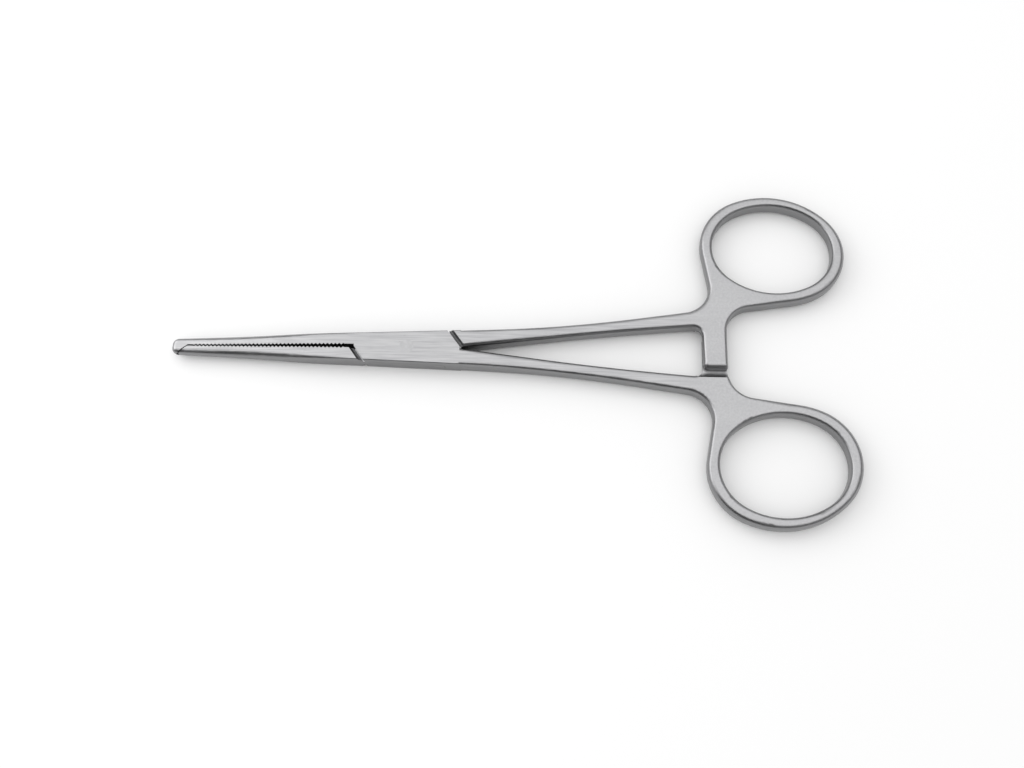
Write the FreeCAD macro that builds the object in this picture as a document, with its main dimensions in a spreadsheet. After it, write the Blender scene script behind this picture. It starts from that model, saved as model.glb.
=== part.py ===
import FreeCAD, Part
import math
import os
import Sketcher

# Hemostat forceps with a box lock, lying flat.
# The origin is on the pivot axis, in the plane that the underside of the box lock rests on.
# +X runs from the pivot to the finger rings, +Y is the side of the upper ring, +Z is up.
# All lengths are in millimetres and all angles in degrees.

SIZES = {
    "jaw_reach": 50.4,            # pivot to the closed tip
    "tip_half_width": 1.66,       # closed tip, axis to side
    "tip_thickness": 2.3,
    "tip_corner_radius": 1.3,     # corners of the tip seen from above
    "tip_roundness": 1.0,         # rounding of the jaw's back at the tip
    "jaw_roundness": 1.4,         # and past the fullest part, where it is roundest
    "jaw_swell_reach": 24.0,      # pivot to the fullest part of the jaw's back
    "jaw_swell_half_width": 2.84,
    "jaw_swell_share": 0.35,      # of the way back to the box lock, taken up by the bend there
    "bite_gap": 0.34,             # play between the closed jaws at the tip
    "bite_gap_back": 0.84,        # and at the box lock: they meet at the tip first
    "serration_pitch": 0.84,
    "serration_depth": 0.32,
    "serration_start": 13.0,      # pivot to the first serration
    "serration_setback": 4.8,     # the last one to the closed tip
    "hook_setback": 3.8,          # closed tip to where the seam turns down to the side
    "hook_run": 2.1,              # length of that slanted seam
    "hook_slot": 0.9,             # room between the two teeth of the hook
    "hook_wall": 1.1,             # metal left at the end of that room
    "hook_tooth": 0.7,            # thickness of the single tooth that enters it
    "hook_tooth_rise": 0.75,      # how far the single tooth passes the bite line
    "hook_tooth_corner": 0.15,
    "hook_tooth_play": 0.45,      # room ahead of the single tooth
    "hook_play": 0.16,            # room behind and above it
    "hook_tooth_root": 1.2,       # how deep it stands in its own jaw
    "hook_slot_back": 1.2,        # how far the room reaches behind the seam
    "box_length": 22.0,           # box lock, jaw end to shank end
    "box_thickness": 4.0,
    "box_front_half_width": 3.0,  # at the jaw end
    "box_back_half_width": 3.8,   # at the shank end
    "box_edge_radius": 0.3,       # eased long edges of the box lock
    "tongue_thickness": 1.4,
    "tongue_radius": 8.7,         # the tongue turns inside the slot as a disc
    "slot_play": 0.05,            # tongue to cheek, on each side
    "turn_play": 0.08,            # tongue's rim to the end of the slot
    "cheek_slant": 2.6,           # how far a cheek's end slants along the box
    "shoulder_gap": 0.35,         # cheek to shoulder at the foot of the shoulder
    "shoulder_ramp_run": 0.45,    # the shoulder's hollow is a flat ramp
    "shoulder_ramp_rise": 0.22,
    "shoulder_lean_run": 0.5,     # and a steeper stretch above it
    "shoulder_lean_rise": 0.5,
    "pin_diameter": 3.0,
    "pin_play": 0.05,             # pin to tongue, radial
    "handle_thickness": 3.3,
    "thin_reach": 34.0,           # pivot to where the shank is down to that thickness
    "shank_bend_reach": 29.5,     # pivot to the middle of the shank's outward sweep
    "shank_inner_share": 0.7,     # of the way to the arm, where the inner edge bends
    "shank_inner_offset": 3.85,   # middle line to that bend
    "shank_inner_sweep": 0.5,     # share of its shorter side that the bend takes up
    "arm_reach": 59.95,           # pivot to the ratchet arm
    "arm_width": 4.85,
    "arm_overhang": 3.7,          # how far the arm passes the middle line
    "arm_corner_radius": 1.2,     # its free end, on the side of the shanks
    "arm_back_radius": 0.4,       # and on the side of the rings
    "crotch_radius": 1.9,
    "crotch_offset": 5.4,
    "neck_run": 2.45,             # front of the arm to the corner under the ring
    "neck_offset": 9.45,
    "neck_radius": 5.6,
    "web_offset": 9.1,            # corner between arm and ring, from the middle line
    "web_radius": 5.4,
    "ratchet_play": 0.03,         # tooth tips to the dividing plane, on each side
    "ratchet_pitch": 2.0,
    "ratchet_depth": 0.55,
    "ratchet_teeth": 3,
    "relief_offset": 4.0,         # middle line to where the arm's relief starts to rise
    "relief_margin": 1.25,        # how far the relief reaches past the arm's sides
    "ring_run": 14.7,             # front of the arm to the middle of the ring
    "ring_offset": 23.1,
    "ring_hole_length": 24.3,
    "ring_hole_width": 20.15,
    "ring_hole_end_radius": 9.2,
    "ring_hole_tilt": -6.0,
    "ring_end_band": 2.5,         # width of the ring at the ends of its hole
    "ring_side_band": 2.2,        # width of the ring at the sides of its hole
    "ring_end_radius": 11.15,     # outside of the ring
    "ring_tilt": -12.5,
    "ring_outer_share": 0.46,     # of the ring's side band, rounded on the outside
    "ring_inner_share": 0.36,     # and on the side of the hole
    "bevel_inside": 0.85,         # rounding of the shank's inner edge
    "bevel_arm_front": 1.1,
    "bevel_arm_back": 0.7,
}

os.makedirs("parts", exist_ok=True)
doc = FreeCAD.newDocument("hemostat_forceps")
sheet = doc.addObject("Spreadsheet::Sheet", "Sizes")
for row, (alias, value) in enumerate(SIZES.items(), 1):
    sheet.set("A%d" % row, alias)
    sheet.set("B%d" % row, str(value))
    sheet.setAlias("B%d" % row, alias)
doc.recompute()


class Cells:
    """Reads a size from the sheet by its alias."""

    def __getattr__(self, alias):
        return float(sheet.get(alias))


size = Cells()
half_box = size.box_length / 2
half_gap = size.bite_gap / 2
mid_height = size.box_thickness / 2
NEAR = 0.01                       # two places as close as this count as one
TOUCHING = 1e-6
LEVEL = 0.9                       # the upward part of a level face's direction is above this
UPRIGHT = 0.1                     # and that of an upright face's direction is below this
FLAT = FreeCAD.Rotation()
SIDE_VIEW = FreeCAD.Rotation(FreeCAD.Vector(1, 0, 0), 90)
END_VIEW = FreeCAD.Rotation(FreeCAD.Vector(1, 1, 1), 120)
TURNED_OVER = FreeCAD.Placement(FreeCAD.Vector(), FreeCAD.Rotation(FreeCAD.Vector(1, 0, 0), 180))


def point(x, y):
    return FreeCAD.Vector(x, y, 0)


def corner_arc(before, corner, after, radius):
    """The arc of a radius that rounds a corner: its start, middle and end."""
    back = (before - corner).normalize()
    ahead = (after - corner).normalize()
    half_angle = back.getAngle(ahead) / 2
    run = radius / math.tan(half_angle)
    rise = radius / math.sin(half_angle) - radius
    bisector = (back + ahead).normalize()
    return corner + back * run, corner + bisector * rise, corner + ahead * run


def sweep_radius(before, corner, after, share=1):
    """The radius whose arc takes up a share of the shorter side at a corner."""
    back = point(*before) - point(*corner)
    ahead = point(*after) - point(*corner)
    return share * min(back.Length, ahead.Length) * math.tan(back.getAngle(ahead) / 2)


def rounded_path(corners, closed=True):
    """Lines and arcs through corners given as (x, y) or (x, y, radius)."""
    spots = [point(*corner[:2]) for corner in corners]
    radii = [corner[2] if len(corner) > 2 else 0 for corner in corners]
    stretches = []
    for i, spot in enumerate(spots):
        inner = closed or 0 < i < len(spots) - 1
        if radii[i] and inner:
            stretches.append(corner_arc(spots[i - 1], spot, spots[(i + 1) % len(spots)], radii[i]))
        else:
            stretches.append((spot, None, spot))
    pieces = []
    for i, (start, middle, end) in enumerate(stretches):
        if middle:
            pieces.append(Part.Arc(start, middle, end))
        if closed or i < len(stretches) - 1:
            following = stretches[(i + 1) % len(stretches)][0]
            if (following - end).Length > TOUCHING:
                pieces.append(Part.LineSegment(end, following))
    return pieces


def sketch(name, pieces, view=FLAT):
    made = doc.addObject("Sketcher::SketchObject", name)
    made.Placement = FreeCAD.Placement(FreeCAD.Vector(), view)
    made.addGeometry(pieces, False)
    return made


def extrusion(name, outline, length):
    """A sketch pulled out by a length, half to each side of its plane."""
    made = doc.addObject("Part::Extrusion", name)
    made.Base = outline
    made.DirMode = "Normal"
    made.Symmetric = True
    made.Solid = True
    made.setExpression("LengthFwd", length)
    return made


def joined(name, *parts):
    made = doc.addObject("Part::MultiFuse", name)
    made.Shapes = list(parts)
    made.Refine = True
    return made


def common(name, base, tool):
    made = doc.addObject("Part::Common", name)
    made.Base = base
    made.Tool = tool
    return made


def cut(name, base, *tools):
    for i, tool in enumerate(tools):
        made = doc.addObject("Part::Cut", name if i == len(tools) - 1 else name + "Step%d" % i)
        made.Base = base
        made.Tool = tool
        base = made
    return base


def turned_over(name, part):
    """The same part turned over about the long axis, for the other half."""
    made = doc.addObject("Part::Compound", name)
    made.Links = [part]
    made.Placement = TURNED_OVER
    return made


def directed(rim, head, tail):
    """A rim edge turned the way that its chain runs, or None where it doesn't touch the chain."""
    number, start, end = rim
    if tail.isEqual(start, NEAR) or head.isEqual(end, NEAR):
        return number, start, end
    if tail.isEqual(end, NEAR) or head.isEqual(start, NEAR):
        return number, end, start
    return None


def in_chains(rims):
    """The rim edges with their ends in the order in which each chain of them runs."""
    waiting = list(rims)
    done = []
    while waiting:
        chain = [waiting.pop(0)]
        touching = True
        while touching:
            head, tail = chain[0][1], chain[-1][2]
            touching = False
            for rim in waiting:
                turned = directed(rim, head, tail)
                if turned:
                    chain.insert(len(chain) if tail.isEqual(turned[1], NEAR) else 0, turned)
                    waiting.remove(rim)
                    touching = True
                    break
        done += chain
    return done


def rim_edges(solid, radius_at):
    """The upper outline edges of a flat solid, with the radius at each end."""
    rims = []
    for number, edge in enumerate(solid.Edges, 1):
        tilts = []
        for face in solid.ancestorsOfType(edge, Part.Face):
            u_low, u_high, v_low, v_high = face.ParameterRange
            tilts.append(abs(face.normalAt((u_low + u_high) / 2, (v_low + v_high) / 2).z))
        start = edge.valueAt(edge.FirstParameter)
        end = edge.valueAt(edge.LastParameter)
        is_rim = min(start.z, end.z) > 0 and max(tilts) > LEVEL and min(tilts) < UPRIGHT
        if is_rim and min(radius_at(start, end), radius_at(end, start)) > 0:
            rims.append((number, start, end))
    return [(number, radius_at(start, end), radius_at(end, start)) for number, start, end in in_chains(rims)]


def rounded_both_sides(name, base, radius_at):
    """Rounds the upper rim, keeps the upper half and mirrors it in the middle plane."""
    doc.recompute()
    rounded = doc.addObject("Part::Fillet", name + "Upper")
    rounded.Base = base
    rounded.Edges = rim_edges(base.Shape, radius_at)
    above = doc.addObject("Part::Box", name + "Above")
    reach = 2 * (ring_centre.x + ring_length)
    above.Length = reach
    above.Width = reach
    above.Height = size.box_thickness
    above.Placement.Base = FreeCAD.Vector(-reach / 2, -reach / 2, 0)
    upper = common(name + "Half", rounded, above)
    lower = doc.addObject("Part::Mirroring", name + "Mirrored")
    lower.Source = upper
    lower.Normal = FreeCAD.Vector(0, 0, 1)
    return joined(name, upper, lower)


# Side of the closed instrument
# The half width of the box lock grows evenly from the jaws to the shanks.
side_slope = (size.box_back_half_width - size.box_front_half_width) / size.box_length


def side_at(x):
    return size.box_front_half_width + (x + half_box) * side_slope


def arc_about(centre, start, end):
    """The shorter arc about a centre from one point to another."""
    reach = (start - centre).Length
    return Part.Arc(start, centre + ((start + end) / 2 - centre).normalize() * reach, end)


class Oval:
    """Four arcs that run into each other: a side, an end, the other side, the other end."""

    def __init__(self, middle, length, width, end_radius, tilt):
        along = point(math.cos(tilt), math.sin(tilt))
        across = point(-math.sin(tilt), math.cos(tilt))
        run = length / 2 - end_radius
        side_radius = (run ** 2 + width ** 2 / 4 - end_radius ** 2) / (width - 2 * end_radius)
        drop = side_radius - width / 2
        self.radii = [side_radius, end_radius, side_radius, end_radius]
        self.centres = [middle + across * drop, middle + along * run,
                        middle - across * drop, middle - along * run]
        self.starts = []
        for side, end in ((0, 3), (0, 1), (2, 1), (2, 3)):
            away = (self.centres[end] - self.centres[side]).normalize()
            self.starts.append(self.centres[side] + away * side_radius)

    def touch(self, corner, turn):
        """The arc, and the point on it, that the straight line from a corner touches."""
        for number, (centre, radius) in enumerate(zip(self.centres, self.radii)):
            away = point(*corner) - centre
            angle = math.atan2(away.y, away.x) + turn * math.acos(min(1, radius / away.Length))
            spot = centre + point(math.cos(angle), math.sin(angle)) * radius
            after_start = (self.starts[number] - centre).cross(spot - centre).z >= 0
            before_end = (spot - centre).cross(self.starts[(number + 1) % 4] - centre).z >= 0
            if after_start and before_end:
                return number, spot
        raise RuntimeError("no line from %s touches the oval" % (corner,))

    def arcs(self, first, start, last, end):
        """The arcs from a point on one of them round to a point on another."""
        spots = [start] + self.starts[first + 1:last + 1] + [end]
        return [arc_about(self.centres[first + i], spots[i], spots[i + 1])
                for i in range(last + 1 - first)]


# Handle: shank, ratchet arm and finger ring of the +Y side, forged in one
ring_centre = point(size.arm_reach + size.ring_run, size.ring_offset)
ring_length = size.ring_hole_length + 2 * size.ring_end_band
ring_width = size.ring_hole_width + 2 * size.ring_side_band
ring_outside = Oval(ring_centre, ring_length, ring_width, size.ring_end_radius,
                    math.radians(size.ring_tilt))
ring_inside = Oval(ring_centre, size.ring_hole_length, size.ring_hole_width,
                   size.ring_hole_end_radius, math.radians(size.ring_hole_tilt))

arm_back = size.arm_reach + size.arm_width
neck_reach = size.arm_reach + size.neck_run
neck = (neck_reach, size.neck_offset)
web = (arm_back, size.web_offset)
first_arc, ring_start = ring_outside.touch(web, 1)
last_arc, ring_end = ring_outside.touch(neck, -1)
ring_arcs = ring_outside.arcs(first_arc, ring_start, last_arc, ring_end)

bend = (size.shank_bend_reach, side_at(size.shank_bend_reach))
bend_radius = sweep_radius((half_box, side_at(half_box)), bend, neck)
inner = (size.shank_inner_share * size.arm_reach, size.shank_inner_offset)
crotch = (size.arm_reach, size.crotch_offset)
fork = (half_box, half_gap)
inner_radius = sweep_radius(fork, inner, crotch, size.shank_inner_sweep)
handle_path = rounded_path([
    (ring_start.x, ring_start.y),
    web + (size.web_radius,),
    (arm_back, -size.arm_overhang, size.arm_back_radius),
    (size.arm_reach, -size.arm_overhang, size.arm_corner_radius),
    crotch + (size.crotch_radius,),
    inner + (inner_radius,),
    fork,
    (half_box, side_at(half_box)),
    bend + (bend_radius,),
    neck + (size.neck_radius,),
    (ring_end.x, ring_end.y),
], closed=False)
handle_outline = sketch("HandleOutline", handle_path + ring_arcs)
handle_blank = extrusion("HandleBlank", handle_outline, "Sizes.box_thickness")
hole_start = ring_inside.starts[0]
ring_hole_outline = sketch("RingHoleOutline", ring_inside.arcs(0, hole_start, 3, hole_start))
ring_hole = extrusion("RingHole", ring_hole_outline, "2 * Sizes.box_thickness")


def side_profile(name, near, far, far_thickness, beyond):
    """The side view between two reaches, easing from the box's thickness to another."""
    ease = Part.BSplineCurve()
    top = point(near, size.box_thickness / 2)
    low = point(far, far_thickness / 2)
    level = point(math.copysign(1, far), 0)
    ease.interpolate([top, low], InitialTangent=level, FinalTangent=level)
    under = ease.copy()
    under.mirror(point(0, 0), point(1, 0))
    end = point(beyond, far_thickness / 2)
    pieces = [
        ease,
        Part.LineSegment(low, end),
        Part.LineSegment(end, point(end.x, -end.y)),
        Part.LineSegment(point(end.x, -end.y), point(low.x, -low.y)),
        under,
        Part.LineSegment(point(top.x, -top.y), top),
    ]
    outline = sketch(name + "Outline", pieces, SIDE_VIEW)
    return extrusion(name, outline, "4 * Sizes.ring_offset")


handle_side = side_profile("HandleSide", half_box, size.thin_reach, size.handle_thickness,
                           ring_centre.x + ring_length)
handle_rough = cut("HandleRough", common("HandleForged", handle_blank, handle_side), ring_hole)


def handle_radius(spot, other):
    """Rounding of the handle's rim: small at the box lock, full round the ring."""
    if max(spot.x, other.x) < half_box + NEAR:
        return 0
    from_ring = spot - ring_centre
    share = math.hypot(from_ring.x / size.ring_hole_length, from_ring.y / size.ring_hole_width)
    if share < (1 + size.ring_side_band / size.ring_hole_width) / 2:
        return size.ring_inner_share * size.ring_side_band
    middle = (size.shank_inner_offset + size.neck_offset) / 2
    if spot.y > side_at(spot.x) - NEAR or spot.y > middle:
        share = min(1, (spot.x - half_box) / (neck_reach - half_box))
        at_ring = size.ring_outer_share * size.ring_side_band
        return size.box_edge_radius + (at_ring - size.box_edge_radius) * share
    if spot.x < size.arm_reach - NEAR:
        return size.bevel_inside
    if spot.x < size.arm_reach + size.arm_width / 2:
        return size.bevel_arm_front
    return size.bevel_arm_back


handle_round = rounded_both_sides("HandleRound", handle_rough, handle_radius)

# Ratchet: the arm is cut away below the middle plane, with a curved rise to the handle
tips = size.ratchet_play
rise = size.handle_thickness / 2 + tips
past = size.arm_overhang + size.arm_width
relief_path = [
    Part.LineSegment(point(-past, -size.box_thickness), point(-past, tips)),
    Part.LineSegment(point(-past, tips), point(size.relief_offset, tips)),
    Part.Arc(point(size.relief_offset, tips),
             point(size.relief_offset + rise * math.sqrt(0.5), tips - rise * (1 - math.sqrt(0.5))),
             point(size.relief_offset + rise, tips - rise)),
    Part.LineSegment(point(size.relief_offset + rise, tips - rise),
                     point(size.relief_offset + rise, -size.box_thickness)),
    Part.LineSegment(point(size.relief_offset + rise, -size.box_thickness),
                     point(-past, -size.box_thickness)),
]
relief_outline = sketch("ReliefOutline", relief_path, END_VIEW)
relief_outline.setExpression(".Placement.Base.x", "Sizes.arm_reach + Sizes.arm_width / 2")
relief_width = "Sizes.arm_width + 2 * Sizes.relief_margin"
relief = extrusion("ArmRelief", relief_outline, relief_width)
saw_end = size.ratchet_teeth * size.ratchet_pitch / 2
saw = [(-saw_end, -tips)]
for number in range(int(size.ratchet_teeth)):
    wall = number * size.ratchet_pitch - saw_end
    saw.append((wall, tips + size.ratchet_depth))
    saw.append((wall + size.ratchet_pitch, tips))
saw.append((saw_end, -tips))
saw_outline = sketch("SawOutline", rounded_path(saw), END_VIEW)
saw_outline.setExpression(".Placement.Base.x", "Sizes.arm_reach + Sizes.arm_width / 2")
tooth_gaps = extrusion("ToothGaps", saw_outline, relief_width)
male_handle = cut("MaleHandle", handle_round, relief, tooth_gaps)
female_handle = turned_over("FemaleHandle", male_handle)

# Jaw blank of the -Y side: flat bite, rounded back, thinner towards the tip
bite_depth = size.serration_depth / 2
jaw_top = bite_depth + size.bite_gap_back
jaw_near = (-half_box, -side_at(-half_box))
jaw_swell = (-size.jaw_swell_reach, -size.jaw_swell_half_width)
serration_end = size.jaw_reach - size.serration_setback
hook_start = size.jaw_reach - size.hook_setback
jaw_tip = (-size.jaw_reach, -size.tip_half_width)
swell_radius = sweep_radius(jaw_near, jaw_swell, jaw_tip, size.jaw_swell_share)
jaw_path = rounded_path([
    (-half_box, jaw_top),
    jaw_near,
    jaw_swell + (swell_radius,),
    jaw_tip + (size.tip_corner_radius,),
    (-size.jaw_reach, jaw_top),
])
jaw_outline = sketch("JawOutline", jaw_path)
jaw_blank = extrusion("JawBlank", jaw_outline, "Sizes.box_thickness")
past_tip = -size.jaw_reach - size.box_thickness
jaw_side = side_profile("JawSide", -half_box, -size.jaw_reach, size.tip_thickness, past_tip)
jaw_forged = common("JawForged", jaw_blank, jaw_side)


def jaw_radius(spot, other):
    """Rounding of the jaw's back, from the box lock's edge to the fullest part and the tip."""
    along_bite = min(spot.y, other.y) > 0
    across_box = min(spot.x, other.x) > -half_box - NEAR
    if along_bite or across_box:
        return 0
    swell_end = size.jaw_swell_reach + size.jaw_swell_share * (size.jaw_swell_reach - half_box)
    if -spot.x < swell_end:
        share = (-spot.x - half_box) / (swell_end - half_box)
        return size.box_edge_radius + (size.jaw_roundness - size.box_edge_radius) * share
    share = (-spot.x - swell_end) / (size.jaw_reach - swell_end)
    return size.jaw_roundness + (size.tip_roundness - size.jaw_roundness) * share


lower_jaw = rounded_both_sides("LowerJaw", jaw_forged, jaw_radius)
upper_jaw = turned_over("UpperJaw", lower_jaw)

# Bite: the serrations of both jaws follow one zigzag, half the gap to each side of it
def half_gap_at(x):
    share = (-x - half_box) / (serration_end - half_box)
    return (size.bite_gap_back + (size.bite_gap - size.bite_gap_back) * min(1, max(0, share))) / 2


serrations = round((serration_end - size.serration_start) / size.serration_pitch)
pitch = (serration_end - size.serration_start) / serrations
zigzag = [(0, 0), (-size.serration_start, 0)]
for number in range(serrations):
    tooth_start = -size.serration_start - number * pitch
    zigzag.append((tooth_start - pitch / 4, bite_depth))
    zigzag.append((tooth_start - 3 * pitch / 4, -bite_depth))
zigzag += [(-serration_end, 0), (past_tip, 0)]


def bite_room(name, side):
    """All that lies past the zigzag on one side of it, less the gap."""
    far = side * size.box_thickness
    corners = [(x, y - side * half_gap_at(x)) for x, y in zigzag]
    corners += [(past_tip, far), (0, far)]
    outline = sketch(name + "Outline", rounded_path(corners))
    return extrusion(name, outline, "2 * Sizes.box_thickness")


# Hook: the upper jaw's tip turns down over the lower one and carries two teeth
hook_slope = size.hook_run / size.tip_half_width
hook_low = 2 * size.tip_half_width


def hook_zone(name, gap):
    """What lies past the slanted seam and under the upper jaw, with the seam moved back by a gap."""
    start = -hook_start + gap - half_gap * hook_slope
    outline = sketch(name + "Outline", rounded_path([
        (start, half_gap),
        (start - hook_low * hook_slope, half_gap - hook_low),
        (past_tip, half_gap - hook_low),
        (past_tip, half_gap),
    ]))
    return extrusion(name, outline, "2 * Sizes.box_thickness")


slot_back = -hook_start + size.hook_slot_back
slot_front = -size.jaw_reach + size.hook_wall
slot_top = size.hook_tooth_rise + size.hook_play
hook_slot_outline = sketch("HookSlotOutline", rounded_path([
    (slot_back, -hook_low),
    (slot_back, slot_top),
    (slot_front, slot_top),
    (slot_front, -hook_low),
]))
hook_slot = extrusion("HookSlot", hook_slot_outline, "Sizes.hook_slot")

# The single tooth of the lower jaw leans forward into the room between them
tooth_back = slot_back - size.hook_play
root = size.hook_tooth_root
single_tooth_outline = sketch("SingleToothOutline", rounded_path([
    (tooth_back, -root / 4),
    (slot_front + size.hook_tooth_play, size.hook_tooth_rise, size.hook_tooth_corner),
    (-hook_start - root * hook_slope, -root),
    (tooth_back, -root),
]))
single_tooth = extrusion("SingleTooth", single_tooth_outline, "Sizes.hook_tooth")

upper_bite = cut("UpperJawBite", upper_jaw, bite_room("UpperBiteRoom", -1))
hook = common("Hook", lower_jaw, hook_zone("HookZone", 0))
female_jaw = cut("FemaleJaw", joined("FemaleJawBlank", upper_bite, hook), hook_slot)
hook_room = hook_zone("HookRoom", size.bite_gap)
lower_bite = cut("LowerJawBite", lower_jaw, bite_room("LowerBiteRoom", 1), hook_room)
male_jaw = joined("MaleJaw", lower_bite, single_tooth)

# Box lock: cheeks of the female half, tongue of the male half
bar_outline = sketch("BarOutline", rounded_path([
    (-half_box, -side_at(-half_box)),
    (half_box, -side_at(half_box)),
    (half_box, side_at(half_box)),
    (-half_box, side_at(-half_box)),
]))
bar_blank = extrusion("BarBlank", bar_outline, "Sizes.box_thickness")


def bar_radius(spot, other):
    return size.box_edge_radius if abs(spot.x - other.x) > half_box else 0


bar = rounded_both_sides("Bar", bar_blank, bar_radius)
lean = size.cheek_slant / side_at(0)
wide = 2 * size.box_back_half_width

cheek_outline = sketch("CheekOutline", rounded_path([
    (-half_box, wide),
    (half_box - lean * wide, wide),
    (half_box, 0),
    (half_box, -wide),
    (-half_box + lean * wide, -wide),
    (-half_box, 0),
]))
cheeks = common("Cheeks", bar, extrusion("CheekZone", cheek_outline, "2 * Sizes.box_thickness"))


def quarter(name, sign, inset, reach, height):
    """The corner of the box lock where one half runs out of the other's slot."""
    outline = sketch(name + "Outline", rounded_path([
        (0, inset),
        (sign * reach, inset),
        (sign * reach, sign * wide),
        (0, sign * wide),
    ]))
    return extrusion(name, outline, height)


def round_plate(name, radius, height):
    made = doc.addObject("Part::Cylinder", name)
    made.setExpression("Radius", radius)
    made.setExpression("Height", height)
    made.setExpression(".Placement.Base.z", "-(%s) / 2" % height)
    return made


slot_height = "Sizes.tongue_thickness + 2 * Sizes.slot_play"
slot = joined(
    "Slot",
    round_plate("SlotRound", "Sizes.tongue_radius + Sizes.turn_play", slot_height),
    quarter("SlotJawEnd", -1, half_gap, size.box_length, slot_height),
    quarter("SlotShankEnd", 1, -half_gap, size.box_length, slot_height),
)
box_height = "2 * Sizes.box_thickness"
cheek_bore = round_plate("CheekBore", "Sizes.pin_diameter / 2", box_height)
tongue_bore = round_plate("TongueBore", "Sizes.pin_diameter / 2 + Sizes.pin_play", box_height)
female_box = cut("FemaleBox", cheeks, slot, cheek_bore)

tongue_zone = joined(
    "TongueZone",
    round_plate("TongueRound", "Sizes.tongue_radius", box_height),
    quarter("TongueJawEnd", -1, -half_gap, half_box, box_height),
    quarter("TongueShankEnd", 1, half_gap, half_box, box_height),
)
male_bar = common("MaleBar", bar, tongue_zone)


def cheek_room(name, side):
    """The room that a cheek takes in the male half, with the hollow of both shoulders."""
    rims = []
    lean_foot = mid_height - size.shoulder_lean_rise
    ramp_foot = lean_foot - size.shoulder_ramp_rise
    ramp_spread = size.shoulder_gap + size.shoulder_ramp_run
    for level, (height, spread) in enumerate([
        (size.tongue_thickness / 2, size.shoulder_gap),
        (ramp_foot, size.shoulder_gap),
        (lean_foot, ramp_spread),
        (mid_height, ramp_spread + size.shoulder_lean_run),
    ]):
        reach = half_box + spread
        rim = sketch("%sRim%d" % (name, level), rounded_path([
            (-reach - lean * wide, wide),
            (reach - lean * wide, wide),
            (reach + lean * wide, -wide),
            (-reach + lean * wide, -wide),
        ]))
        rim.Placement.Base = FreeCAD.Vector(0, 0, side * height)
        rims.append(rim)
    made = doc.addObject("Part::Loft", name)
    made.Sections = rims
    made.Solid = True
    made.Ruled = True
    return made


# The three pieces, set on the plane that the box lock rests on
def finished(piece, label):
    piece.Label = label
    piece.setExpression(".Placement.Base.z", "Sizes.box_thickness / 2")
    return piece


female_half = finished(joined("FemaleHalf", female_jaw, female_box, female_handle), "female_half")
male_forged = joined("MaleForged", male_jaw, male_bar, male_handle)
male_half = finished(cut("MaleHalf", male_forged, cheek_room("UpperCheekRoom", 1),
                         cheek_room("LowerCheekRoom", -1), tongue_bore), "male_half")

pin_body = doc.addObject("PartDesign::Body", "PinBody")
pin_body.Label = "box_lock_pin"
pin_sketch = pin_body.newObject("Sketcher::SketchObject", "PinSketch")
pin_sketch.AttachmentSupport = [
    (plane, "") for plane in pin_body.Origin.OriginFeatures if plane.Role == "XY_Plane"
]
pin_sketch.MapMode = "FlatFace"
pin_circle = Part.Circle(point(0, 0), FreeCAD.Vector(0, 0, 1), size.pin_diameter / 2)
pin_sketch.addGeometry(pin_circle, False)
pin_sketch.addConstraint(Sketcher.Constraint("Coincident", 0, 3, -1, 1))
pin_sketch.addConstraint(Sketcher.Constraint("Diameter", 0, size.pin_diameter))
pin_sketch.renameConstraint(1, "pin")
pin_sketch.setExpression("Constraints.pin", "Sizes.pin_diameter")
pin_pad = pin_body.newObject("PartDesign::Pad", "PinPad")
pin_pad.Profile = pin_sketch
pin_pad.setExpression("Length", "Sizes.box_thickness")

doc.recompute()

# Every object has to be sound before anything is written
for item in doc.Objects:
    if "Invalid" in item.State or "Error" in item.State:
        raise RuntimeError("%s failed: %s" % (item.Name, item.State))
for piece in (female_half, male_half, pin_body):
    shape = piece.Shape
    if shape.isNull() or not shape.isValid() or len(shape.Solids) != 1:
        raise RuntimeError("%s isn't one sound solid" % piece.Label)
    shape.exportStep("parts/%s.step" % piece.Label)
    print(piece.Label, "volume %.1f" % shape.Volume, "faces %d" % len(shape.Faces), shape.BoundBox)
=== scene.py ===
# %% [markdown]
# # Hemostat forceps
#
# A box-lock hemostat is three pieces of steel: two forged halves and the pin that they turn on.
# Their shape comes from the CAD model, so this lesson is about everything else: where the camera
# stands, what a bright metal object is lit with, and how satin-finished steel is made from nodes.

import math

import bmesh
import bpy
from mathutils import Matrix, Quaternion, Vector


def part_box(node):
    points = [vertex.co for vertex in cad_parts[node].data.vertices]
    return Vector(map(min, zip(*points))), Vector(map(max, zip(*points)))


MM = 0.001

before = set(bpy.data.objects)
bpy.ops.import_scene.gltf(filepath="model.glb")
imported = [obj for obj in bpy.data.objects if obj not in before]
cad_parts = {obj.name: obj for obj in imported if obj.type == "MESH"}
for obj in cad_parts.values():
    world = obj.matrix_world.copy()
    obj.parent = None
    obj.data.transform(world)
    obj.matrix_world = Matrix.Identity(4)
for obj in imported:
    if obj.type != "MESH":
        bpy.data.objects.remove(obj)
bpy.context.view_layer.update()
for name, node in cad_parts.items():
    low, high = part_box(name)
    spans = ["%.1f" % ((b - a) / MM) for a, b in zip(low, high)]
    print(name, "is", " x ".join(spans), "mm with", len(node.data.polygons), "faces")

# %% [markdown]
# ## The camera
#
# The photograph looks down on the instrument from the side of the lower ring, leaning about 21
# degrees from straight above. A camera is placed by the spot where it stands, the spot that the
# middle of the picture shows, at half the height of the instrument, and how far it is rolled. The
# lens follows from how quickly the far side of the instrument grows smaller: the picture is 1024
# pixels wide and the focal length comes to 877 of them, so on a 36 mm sensor the lens is
# 36 x 877 / 1024 mm long.

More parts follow.
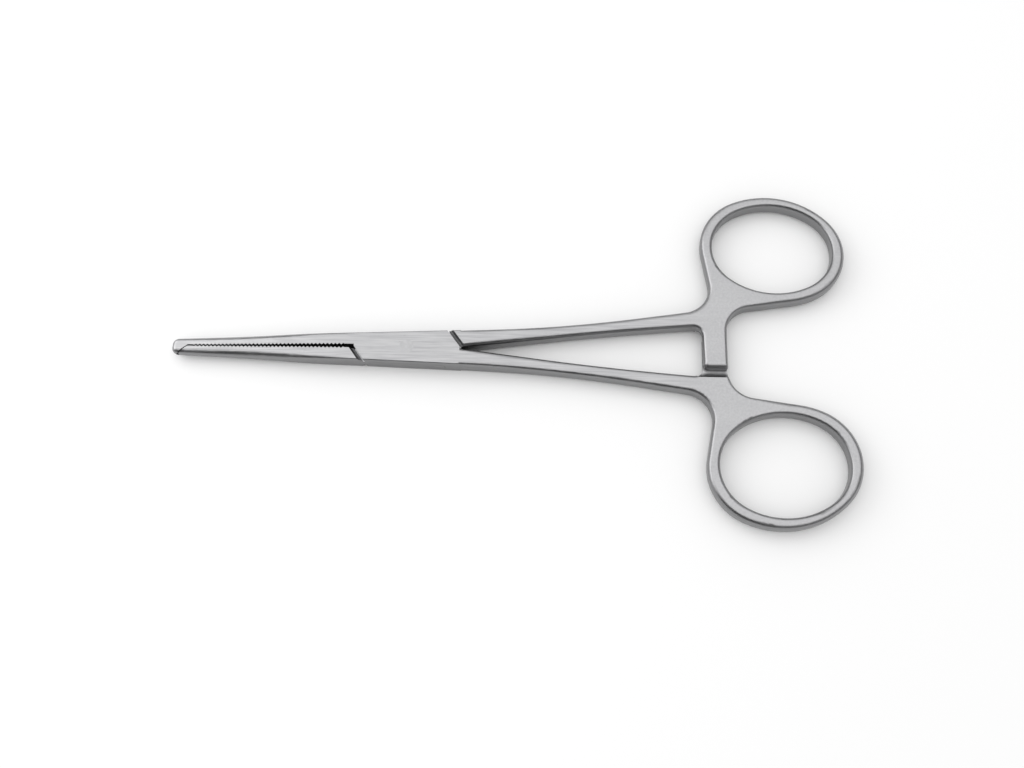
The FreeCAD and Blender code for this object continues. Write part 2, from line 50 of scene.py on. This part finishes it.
# %% Place the camera
CAMERA_SPOT = Vector((37.01, -67.74, 167.75)) * MM
CAMERA_AIM = Vector((21.89, -7.17, 2.0)) * MM
CAMERA_ROLL = math.radians(-12.24)
SENSOR_WIDTH = 36
PICTURE_WIDTH = 1024
FOCAL_PIXELS = 877
NEAREST_SEEN = 0.01


def place_camera():
    camera_data = bpy.data.cameras.new("photo_camera")
    camera_data.sensor_width = SENSOR_WIDTH
    camera_data.lens = SENSOR_WIDTH * FOCAL_PIXELS / PICTURE_WIDTH
    camera_data.clip_start = NEAREST_SEEN
    camera = bpy.data.objects.new("photo_camera", camera_data)
    bpy.context.scene.collection.objects.link(camera)
    camera.location = CAMERA_SPOT
    facing = (CAMERA_AIM - CAMERA_SPOT).to_track_quat("-Z", "Y")
    camera.rotation_mode = "QUATERNION"
    camera.rotation_quaternion = facing @ Quaternion((0, 0, 1), CAMERA_ROLL)
    bpy.context.scene.camera = camera
    return camera


camera = place_camera()
lean = math.degrees((CAMERA_SPOT - CAMERA_AIM).angle(Vector((0, 0, 1))))
print("camera leans %.1f degrees from straight above, lens %.1f mm" % (lean, camera.data.lens))

# %% [markdown]
# ## Nodes written as arithmetic
#
# A finish is mostly arithmetic on noise. Placing Math nodes one by one hides that, so a small
# class wraps an output socket and turns +, - and * into Math nodes. Any other kind of node comes
# from one method, which sets the node's own settings first and its sockets afterwards.


# %% Sockets that can be added and multiplied
class Wire:
    """An output socket. Arithmetic on it makes Math nodes."""

    def __init__(self, finish, socket):
        self.finish = finish
        self.socket = socket

    def math(self, operation, *values):
        return self.finish.node("ShaderNodeMath", {"operation": operation}, dict(enumerate(values)))

    def __add__(self, other):
        return self.math("ADD", self, other)

    def __sub__(self, other):
        return self.math("SUBTRACT", self, other)

    def __rsub__(self, other):
        return self.math("SUBTRACT", other, self)

    def __mul__(self, other):
        return self.math("MULTIPLY", self, other)

    __radd__ = __add__
    __rmul__ = __mul__

    def magnitude(self):
        """The number without its sign."""
        return self.math("ABSOLUTE", self)

    def below(self, limit):
        """1 where it is below the limit, 0 elsewhere."""
        return self.math("LESS_THAN", self, limit)

    def sibling(self, name):
        """Another output of the same node."""
        return Wire(self.finish, self.socket.node.outputs[name])


class Finish:
    """The node tree of a material or of the world."""

    def __init__(self, owner):
        owner.use_nodes = True
        self.tree = owner.node_tree
        self.tree.nodes.clear()

    def node(self, kind, settings, values, output=0):
        made = self.tree.nodes.new(kind)
        for name, value in settings.items():
            setattr(made, name, value)
        for name, value in values.items():
            if isinstance(value, Wire):
                self.tree.links.new(value.socket, made.inputs[name])
            else:
                made.inputs[name].default_value = value
        if made.outputs:
            return Wire(self, made.outputs[output])


print("reflected forms:", [name for name in vars(Wire) if name.startswith("__r")])

# %% [markdown]
# ## The table
#
# The instrument lies on a plain pale table. A disc stands for it, so wide that its edge looks like
# a horizon in low views. It is matt, so it shows the instrument's shadow and nothing else. A plane
# would do as well, but the edge of a disc is equally far away on all sides.

# %% Make the table
TABLE_RADIUS = 4.0
TABLE_CORNERS = 96
TABLE_DROP = 0.02 * MM
TABLE_COLOUR = (0.90, 0.90, 0.90, 1)


def add_stage(name, mesh):
    thing = bpy.data.objects.new(name, mesh)
    bpy.context.scene.collection.objects.link(thing)
    return thing


def matt(name, colour):
    material = bpy.data.materials.new(name)
    finish = Finish(material)
    surface = finish.node("ShaderNodeBsdfDiffuse", {}, {"Color": colour})
    finish.node("ShaderNodeOutputMaterial", {}, {"Surface": surface})
    return material


def make_table():
    disc = bmesh.new()
    bmesh.ops.create_circle(disc, cap_ends=True, segments=TABLE_CORNERS, radius=TABLE_RADIUS)
    mesh = bpy.data.meshes.new("table")
    disc.to_mesh(mesh)
    disc.free()
    table = add_stage("table", mesh)
    table.location.z = -TABLE_DROP
    mesh.materials.append(matt("table_paint", TABLE_COLOUR))
    return table


table = make_table()
print("table top is %.1f m across" % table.dimensions.x)

# %% [markdown]
# ## The sky
#
# Satin steel has hardly any colour of its own: it shows a blurred picture of the room. In the
# photograph the flat faces are an even light grey, so they look up into something large and
# white. A picture of a room would bring windows and colours that the steel there doesn't show, so
# the sky is plain white, which also lights the table evenly. Matt things get a little less from
# it than the steel sees, because a softbox overhead adds the rest.

# %% Make the sky
SKY_LIGHT = 0.88
BACKGROUND_LIGHT = 1.0
WHITE = (1, 1, 1, 1)


def make_sky():
    world = bpy.data.worlds.new("studio")
    bpy.context.scene.world = world
    finish = Finish(world)
    camera_ray = finish.node("ShaderNodeLightPath", {}, {}, "Is Camera Ray")
    mirrored = camera_ray.sibling("Is Glossy Ray") + camera_ray.sibling("Is Transmission Ray")
    soft = finish.node("ShaderNodeBackground", {}, {"Strength": SKY_LIGHT, "Color": WHITE})
    plain = finish.node("ShaderNodeBackground", {}, {"Strength": BACKGROUND_LIGHT, "Color": WHITE})
    sky = finish.node("ShaderNodeMixShader", {}, {0: camera_ray + mirrored, 1: soft, 2: plain})
    finish.node("ShaderNodeOutputWorld", {}, {"Surface": sky})


make_sky()
print("the sky lights matt things at", SKY_LIGHT, "and shows as", BACKGROUND_LIGHT)

# %% [markdown]
# ## Cards for the edges
#
# The rounded edges tell what stands round the instrument: those that face the viewer are the
# darkest, and those that face right or away are dark too. In a studio that comes from grey cards.
# Here each card is an upright strip round the middle of the instrument. The cards are
# out of the camera's sight and only for the metal to look at: they take no light from the table.
# The tall ones hang clear of the table, so that in a low view the steel looks under them into
# white.

# %% Hang up the cards
# Angles are in degrees: 0 is to the right, along +X, and 270 is towards the viewer.
MIDDLE = Vector((20, 0, 0)) * MM
CARD_DISTANCE = 0.5
CARD_STEP = 5


def above_table(angle):
    """How far above the table an angle reaches at the cards' distance."""
    return Vector((0, 0, CARD_DISTANCE * math.tan(math.radians(angle))))


def card(name, start, end, low, high, grey):
    """A grey card between two directions and between two angles above the table."""
    strip = bmesh.new()
    rows = []
    for angle in range(start, end + 1, CARD_STEP):
        side = Vector((math.cos(math.radians(angle)), math.sin(math.radians(angle)), 0))
        spot = MIDDLE + side * CARD_DISTANCE
        rows.append([strip.verts.new(spot + above_table(reach)) for reach in (low, high)])
    for (foot, head), (next_foot, next_head) in zip(rows, rows[1:]):
        strip.faces.new([foot, next_foot, next_head, head])
    mesh = bpy.data.meshes.new(name)
    strip.to_mesh(mesh)
    strip.free()
    mesh.materials.append(matt(name + "_paint", (grey, grey, grey, 1)))
    thing = add_stage(name, mesh)
    thing.visible_camera = False
    thing.visible_diffuse = False
    thing.visible_shadow = False
    return thing


cards = [
    card("front_card", start=200, end=285, low=12, high=68, grey=0.07),
    card("near_right_card", start=285, end=350, low=14, high=58, grey=0.22),
    card("right_card", start=-10, end=50, low=8, high=38, grey=0.22),
    card("back_card", start=50, end=130, low=0, high=22, grey=0.14),
    card("left_card", start=130, end=200, low=0, high=16, grey=0.35),
]
for thing in cards:
    print(thing.name, "is %.2f m high" % thing.dimensions.z)

# %% [markdown]
# ## Softboxes
#
# The edges that face left are the brightest in the photograph, and the flats are brighter than the
# steel's own tone under a plain white sky. Two softboxes give both: one over the low card on the
# left and a wide one overhead. An area lamp has a power and not a brightness, so the power is
# worked out from its size and from how bright its face should look, where 1 is white.

# %% Hang the softboxes
LEFT_SPOT = Vector((-0.36, 0.14, 0.26))
TOP_SPOT = Vector((0.02, 0.10, 0.60))


def softbox(name, spot, aim, width, height, brightness):
    """A lamp of the given size, whose face looks as bright as asked."""
    lamp = bpy.data.lights.new(name, "AREA")
    lamp.shape = "RECTANGLE"
    lamp.size = width
    lamp.size_y = height
    lamp.energy = brightness * math.pi * width * height
    thing = bpy.data.objects.new(name, lamp)
    bpy.context.scene.collection.objects.link(thing)
    thing.location = spot
    thing.rotation_euler = (aim - spot).to_track_quat("-Z", "Y").to_euler()
    thing.visible_camera = False
    return thing


left_box = softbox("left_softbox", LEFT_SPOT, MIDDLE, width=0.5, height=0.24, brightness=1.5)
top_box = softbox("top_softbox", TOP_SPOT, MIDDLE, width=0.9, height=0.7, brightness=0.45)
for thing in (left_box, top_box):
    print(thing.name, "gives %.2f W" % thing.data.energy)

# %% [markdown]
# ## Grain
#
# Each half is ground and then satin finished. On the jaws, the box lock and the shanks the grain
# runs along the instrument. On the rings it has no direction and is fainter. A picture of brushed
# steel could be wrapped round the part, but it would stretch over the edges. Noise in the object's
# own coordinates needs no wrapping and stays on the steel when the forceps open. The long grain is
# noise whose coordinates are squeezed along X. Noise lies close to its middle, so a contrast
# spreads it.

# %% Make grain from noise
LONG_CONTRAST = 2.4
EVEN_CONTRAST = 1.3
FINE_DETAIL = 4.0
NOISE_MIDDLE = 0.5
# The Mix node has sockets for every kind of value. These are the ones for colours.
MIX_FACTOR, MIX_LOW, MIX_HIGH, MIXED = 0, 6, 7, 2


def noise(finish, place, stretch, contrast=LONG_CONTRAST, detail=FINE_DETAIL):
    """Noise round its middle, with so many grains to a metre along each axis."""
    squeezed = finish.node("ShaderNodeVectorMath", {"operation": "MULTIPLY"},
                           {0: place, 1: stretch})
    plain = finish.node("ShaderNodeTexNoise", {},
                        {"Vector": squeezed, "Scale": 1.0, "Detail": detail}, "Fac")
    return (plain - NOISE_MIDDLE) * contrast + NOISE_MIDDLE


def blend(factor, low, high):
    return low + (high - low) * factor


def mix_colour(finish, factor, low, high):
    return finish.node("ShaderNodeMix", {"data_type": "RGBA"},
                       {MIX_FACTOR: factor, MIX_LOW: low, MIX_HIGH: high}, MIXED)


print("grain contrast is", LONG_CONTRAST, "on the shanks and", EVEN_CONTRAST, "on the rings")

# %% [markdown]
# ## Flats, sides and serrations
#
# On the real instrument the flats are ground and the edges rounded. In the photograph the edges and
# the sides are clearly darker than the flats. The cards give a part of that, and the rest is
# painted shade: a darker tone of the steel on all that isn't level. The upward part of the
# surface's own normal tells the two apart: it is 1 on a flat and 0 on an upright side.
#
# The serrated faces between the jaws stay as the cutter left them: rougher than the rest, and
# painted darkest of all as painted shade between the jaws. A slot of their own would mean picking
# every small tooth by hand. A mask finds them by where they are, close to the middle line and past
# the box lock, and by the way they face.

# %% Tell the flats from the sides
# The painted shade on the edges and sides fades in between these two levels of facing straight up.
SIDE_SHADE_TURN = 0.995, 0.50
BITE_HALF_WIDTH = 0.62 * MM
BITE_START = -11.3 * MM
UPRIGHT = 0.5


def levelness(finish):
    """1 where the steel faces straight up or down, 0 where it stands upright."""
    normal = finish.node("ShaderNodeTexCoord", {}, {}, "Normal")
    return finish.node("ShaderNodeSeparateXYZ", {}, {"Vector": normal}, "Z").magnitude()


def between(finish, value, ends):
    """0 at the first of two ends, 1 at the second, and a soft change from one to the other."""
    return finish.node("ShaderNodeMapRange", {"interpolation_type": "SMOOTHSTEP"},
                       {"Value": value, "From Min": ends[0], "From Max": ends[1]})


def bite_cut_and_shade_mask(finish, place, level):
    """1 on the serrated faces of the jaws, which get a rougher finish and painted shade, 0
    elsewhere.
    """
    across = finish.node("ShaderNodeSeparateXYZ", {}, {"Vector": place}, "Y")
    close = across.magnitude().below(BITE_HALF_WIDTH)
    return close * across.sibling("X").below(BITE_START) * level.below(UPRIGHT)


print("the steel darkens from", SIDE_SHADE_TURN[0], "to", SIDE_SHADE_TURN[1], "of facing straight up")

# %% [markdown]
# ## Satin steel
#
# Steel without paint is a Principled surface that is all metal. Its tone, its roughness and a
# faint bump all follow the same grain, as real scratches would change all three together. A mask
# that rises between the shanks and the rings changes the long grain into the even one. A broader
# grain and a slow cloud in the tone keep the flats from looking printed.

# %% Mix the finish of the two halves
RINGS_START = 0.050, 0.064
LONG_GRAIN = (300, 4500, 4500)
EVEN_GRAIN = (5200, 5200, 5200)
LONG_STREAKS = (110, 2800, 2800)
EVEN_STREAKS = (2200, 2200, 2200)
CLOUDS = (60, 240, 240)
CLOUD_DETAIL = 2.0
GRAIN_SHARE, STREAK_SHARE, CLOUD_SHARE = 0.3, 0.6, 0.1
LIGHT_STEEL = (0.50, 0.50, 0.505, 1)
DARK_STEEL = (0.31, 0.31, 0.32, 1)
# Painted shade: the darker tone painted on the edges and sides.
SIDE_PAINTED_SHADE = (0.26, 0.26, 0.265, 1)
# Painted shade: the serrated faces between the jaws are painted darkest of all.
CUT_AND_SHADED_STEEL = (0.09, 0.09, 0.092, 1)
SATIN_ROUGHNESS = 0.27
GRAIN_ROUGHNESS = 0.12
CUT_ROUGHNESS = 0.2
GRAIN_HEIGHT = 0.007 * MM


def steel_surface(finish, grain, tone, roughness, bump_height):
    bump = finish.node("ShaderNodeBump", {},
                       {"Strength": 1.0, "Distance": bump_height, "Height": grain})
    return finish.node("ShaderNodeBsdfPrincipled", {}, {
        "Base Color": tone,
        "Metallic": 1.0,
        "Roughness": roughness,
        "Normal": bump,
    })


def satin_steel():
    material = bpy.data.materials.new("satin_steel")
    finish = Finish(material)
    place = finish.node("ShaderNodeTexCoord", {}, {}, "Object")
    along = finish.node("ShaderNodeSeparateXYZ", {}, {"Vector": place}, "X")
    at_rings = between(finish, along, RINGS_START)
    grain = blend(at_rings, noise(finish, place, LONG_GRAIN),
                  noise(finish, place, EVEN_GRAIN, EVEN_CONTRAST))
    streaks = blend(at_rings, noise(finish, place, LONG_STREAKS),
                    noise(finish, place, EVEN_STREAKS, EVEN_CONTRAST))
    clouds = noise(finish, place, CLOUDS, detail=CLOUD_DETAIL)
    shade = grain * GRAIN_SHARE + streaks * STREAK_SHARE + clouds * CLOUD_SHARE
    level = levelness(finish)
    cut_and_shade = bite_cut_and_shade_mask(finish, place, level)
    tone = mix_colour(finish, shade, DARK_STEEL, LIGHT_STEEL)
    # Painted shade on all that isn't level.
    tone = mix_colour(finish, between(finish, level, SIDE_SHADE_TURN), tone, SIDE_PAINTED_SHADE)
    # Painted shade between the jaws, on the serrated faces.
    tone = mix_colour(finish, cut_and_shade, tone, CUT_AND_SHADED_STEEL)
    roughness = SATIN_ROUGHNESS + grain * GRAIN_ROUGHNESS + cut_and_shade * CUT_ROUGHNESS
    surface = steel_surface(finish, grain, tone, roughness, GRAIN_HEIGHT)
    finish.node("ShaderNodeOutputMaterial", {}, {"Surface": surface})
    return material


steel = satin_steel()
print("satin steel has", len(steel.node_tree.nodes), "nodes")

# %% [markdown]
# ## The pin
#
# The pin is riveted over and ground flush with the cheeks, so it shows as a faint disc at most.
# What tells it from the cheek is the direction of its marks: they run in rings about the pivot.
# A picture of a turned disc could show them, but noise that follows the distance from the axis
# does it without one.

# %% Mix the finish of the pin
RINGS_TO_A_METRE = 9000
RING_DETAIL = 3.0
WITHOUT_HEIGHT = (1, 1, 0)
PIN_SPECKS = (900, 900, 900)
RING_SHARE, SPECK_SHARE = 0.6, 0.4
PIN_ROUGHNESS = 0.31
RING_ROUGHNESS = 0.12
RING_HEIGHT = 0.005 * MM


def turned_steel():
    material = bpy.data.materials.new("pin_steel")
    finish = Finish(material)
    place = finish.node("ShaderNodeTexCoord", {}, {}, "Object")
    flat = finish.node("ShaderNodeVectorMath", {"operation": "MULTIPLY"},
                       {0: place, 1: WITHOUT_HEIGHT})
    radius = finish.node("ShaderNodeVectorMath", {"operation": "LENGTH"}, {0: flat}, "Value")
    marks = {"W": radius * RINGS_TO_A_METRE, "Scale": 1.0, "Detail": RING_DETAIL}
    rings = finish.node("ShaderNodeTexNoise", {"noise_dimensions": "1D"}, marks, "Fac")
    shade = rings * RING_SHARE + noise(finish, place, PIN_SPECKS) * SPECK_SHARE
    tone = mix_colour(finish, shade, DARK_STEEL, LIGHT_STEEL)
    roughness = PIN_ROUGHNESS + rings * RING_ROUGHNESS
    surface = steel_surface(finish, rings, tone, roughness, RING_HEIGHT)
    finish.node("ShaderNodeOutputMaterial", {}, {"Surface": surface})
    return material


pin_finish = turned_steel()
print("turned steel has", len(pin_finish.node_tree.nodes), "nodes")

# %% [markdown]
# ## Dressing the pieces
#
# Each CAD piece comes with its material slots. Putting a finish in a slot leaves the mesh as it is.

# %% Put the finishes on the steel
finishes = {"female_half": steel, "male_half": steel, "box_lock_pin": pin_finish}
for name, material in finishes.items():
    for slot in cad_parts[name].material_slots:
        slot.material = material
    print(name, "wears", material.name)

# %% [markdown] ## Colours as they are written  The Standard view puts no film curve over the
# picture, so white stays white.

# %% Set the view transform
bpy.context.scene.view_settings.view_transform = "Standard"
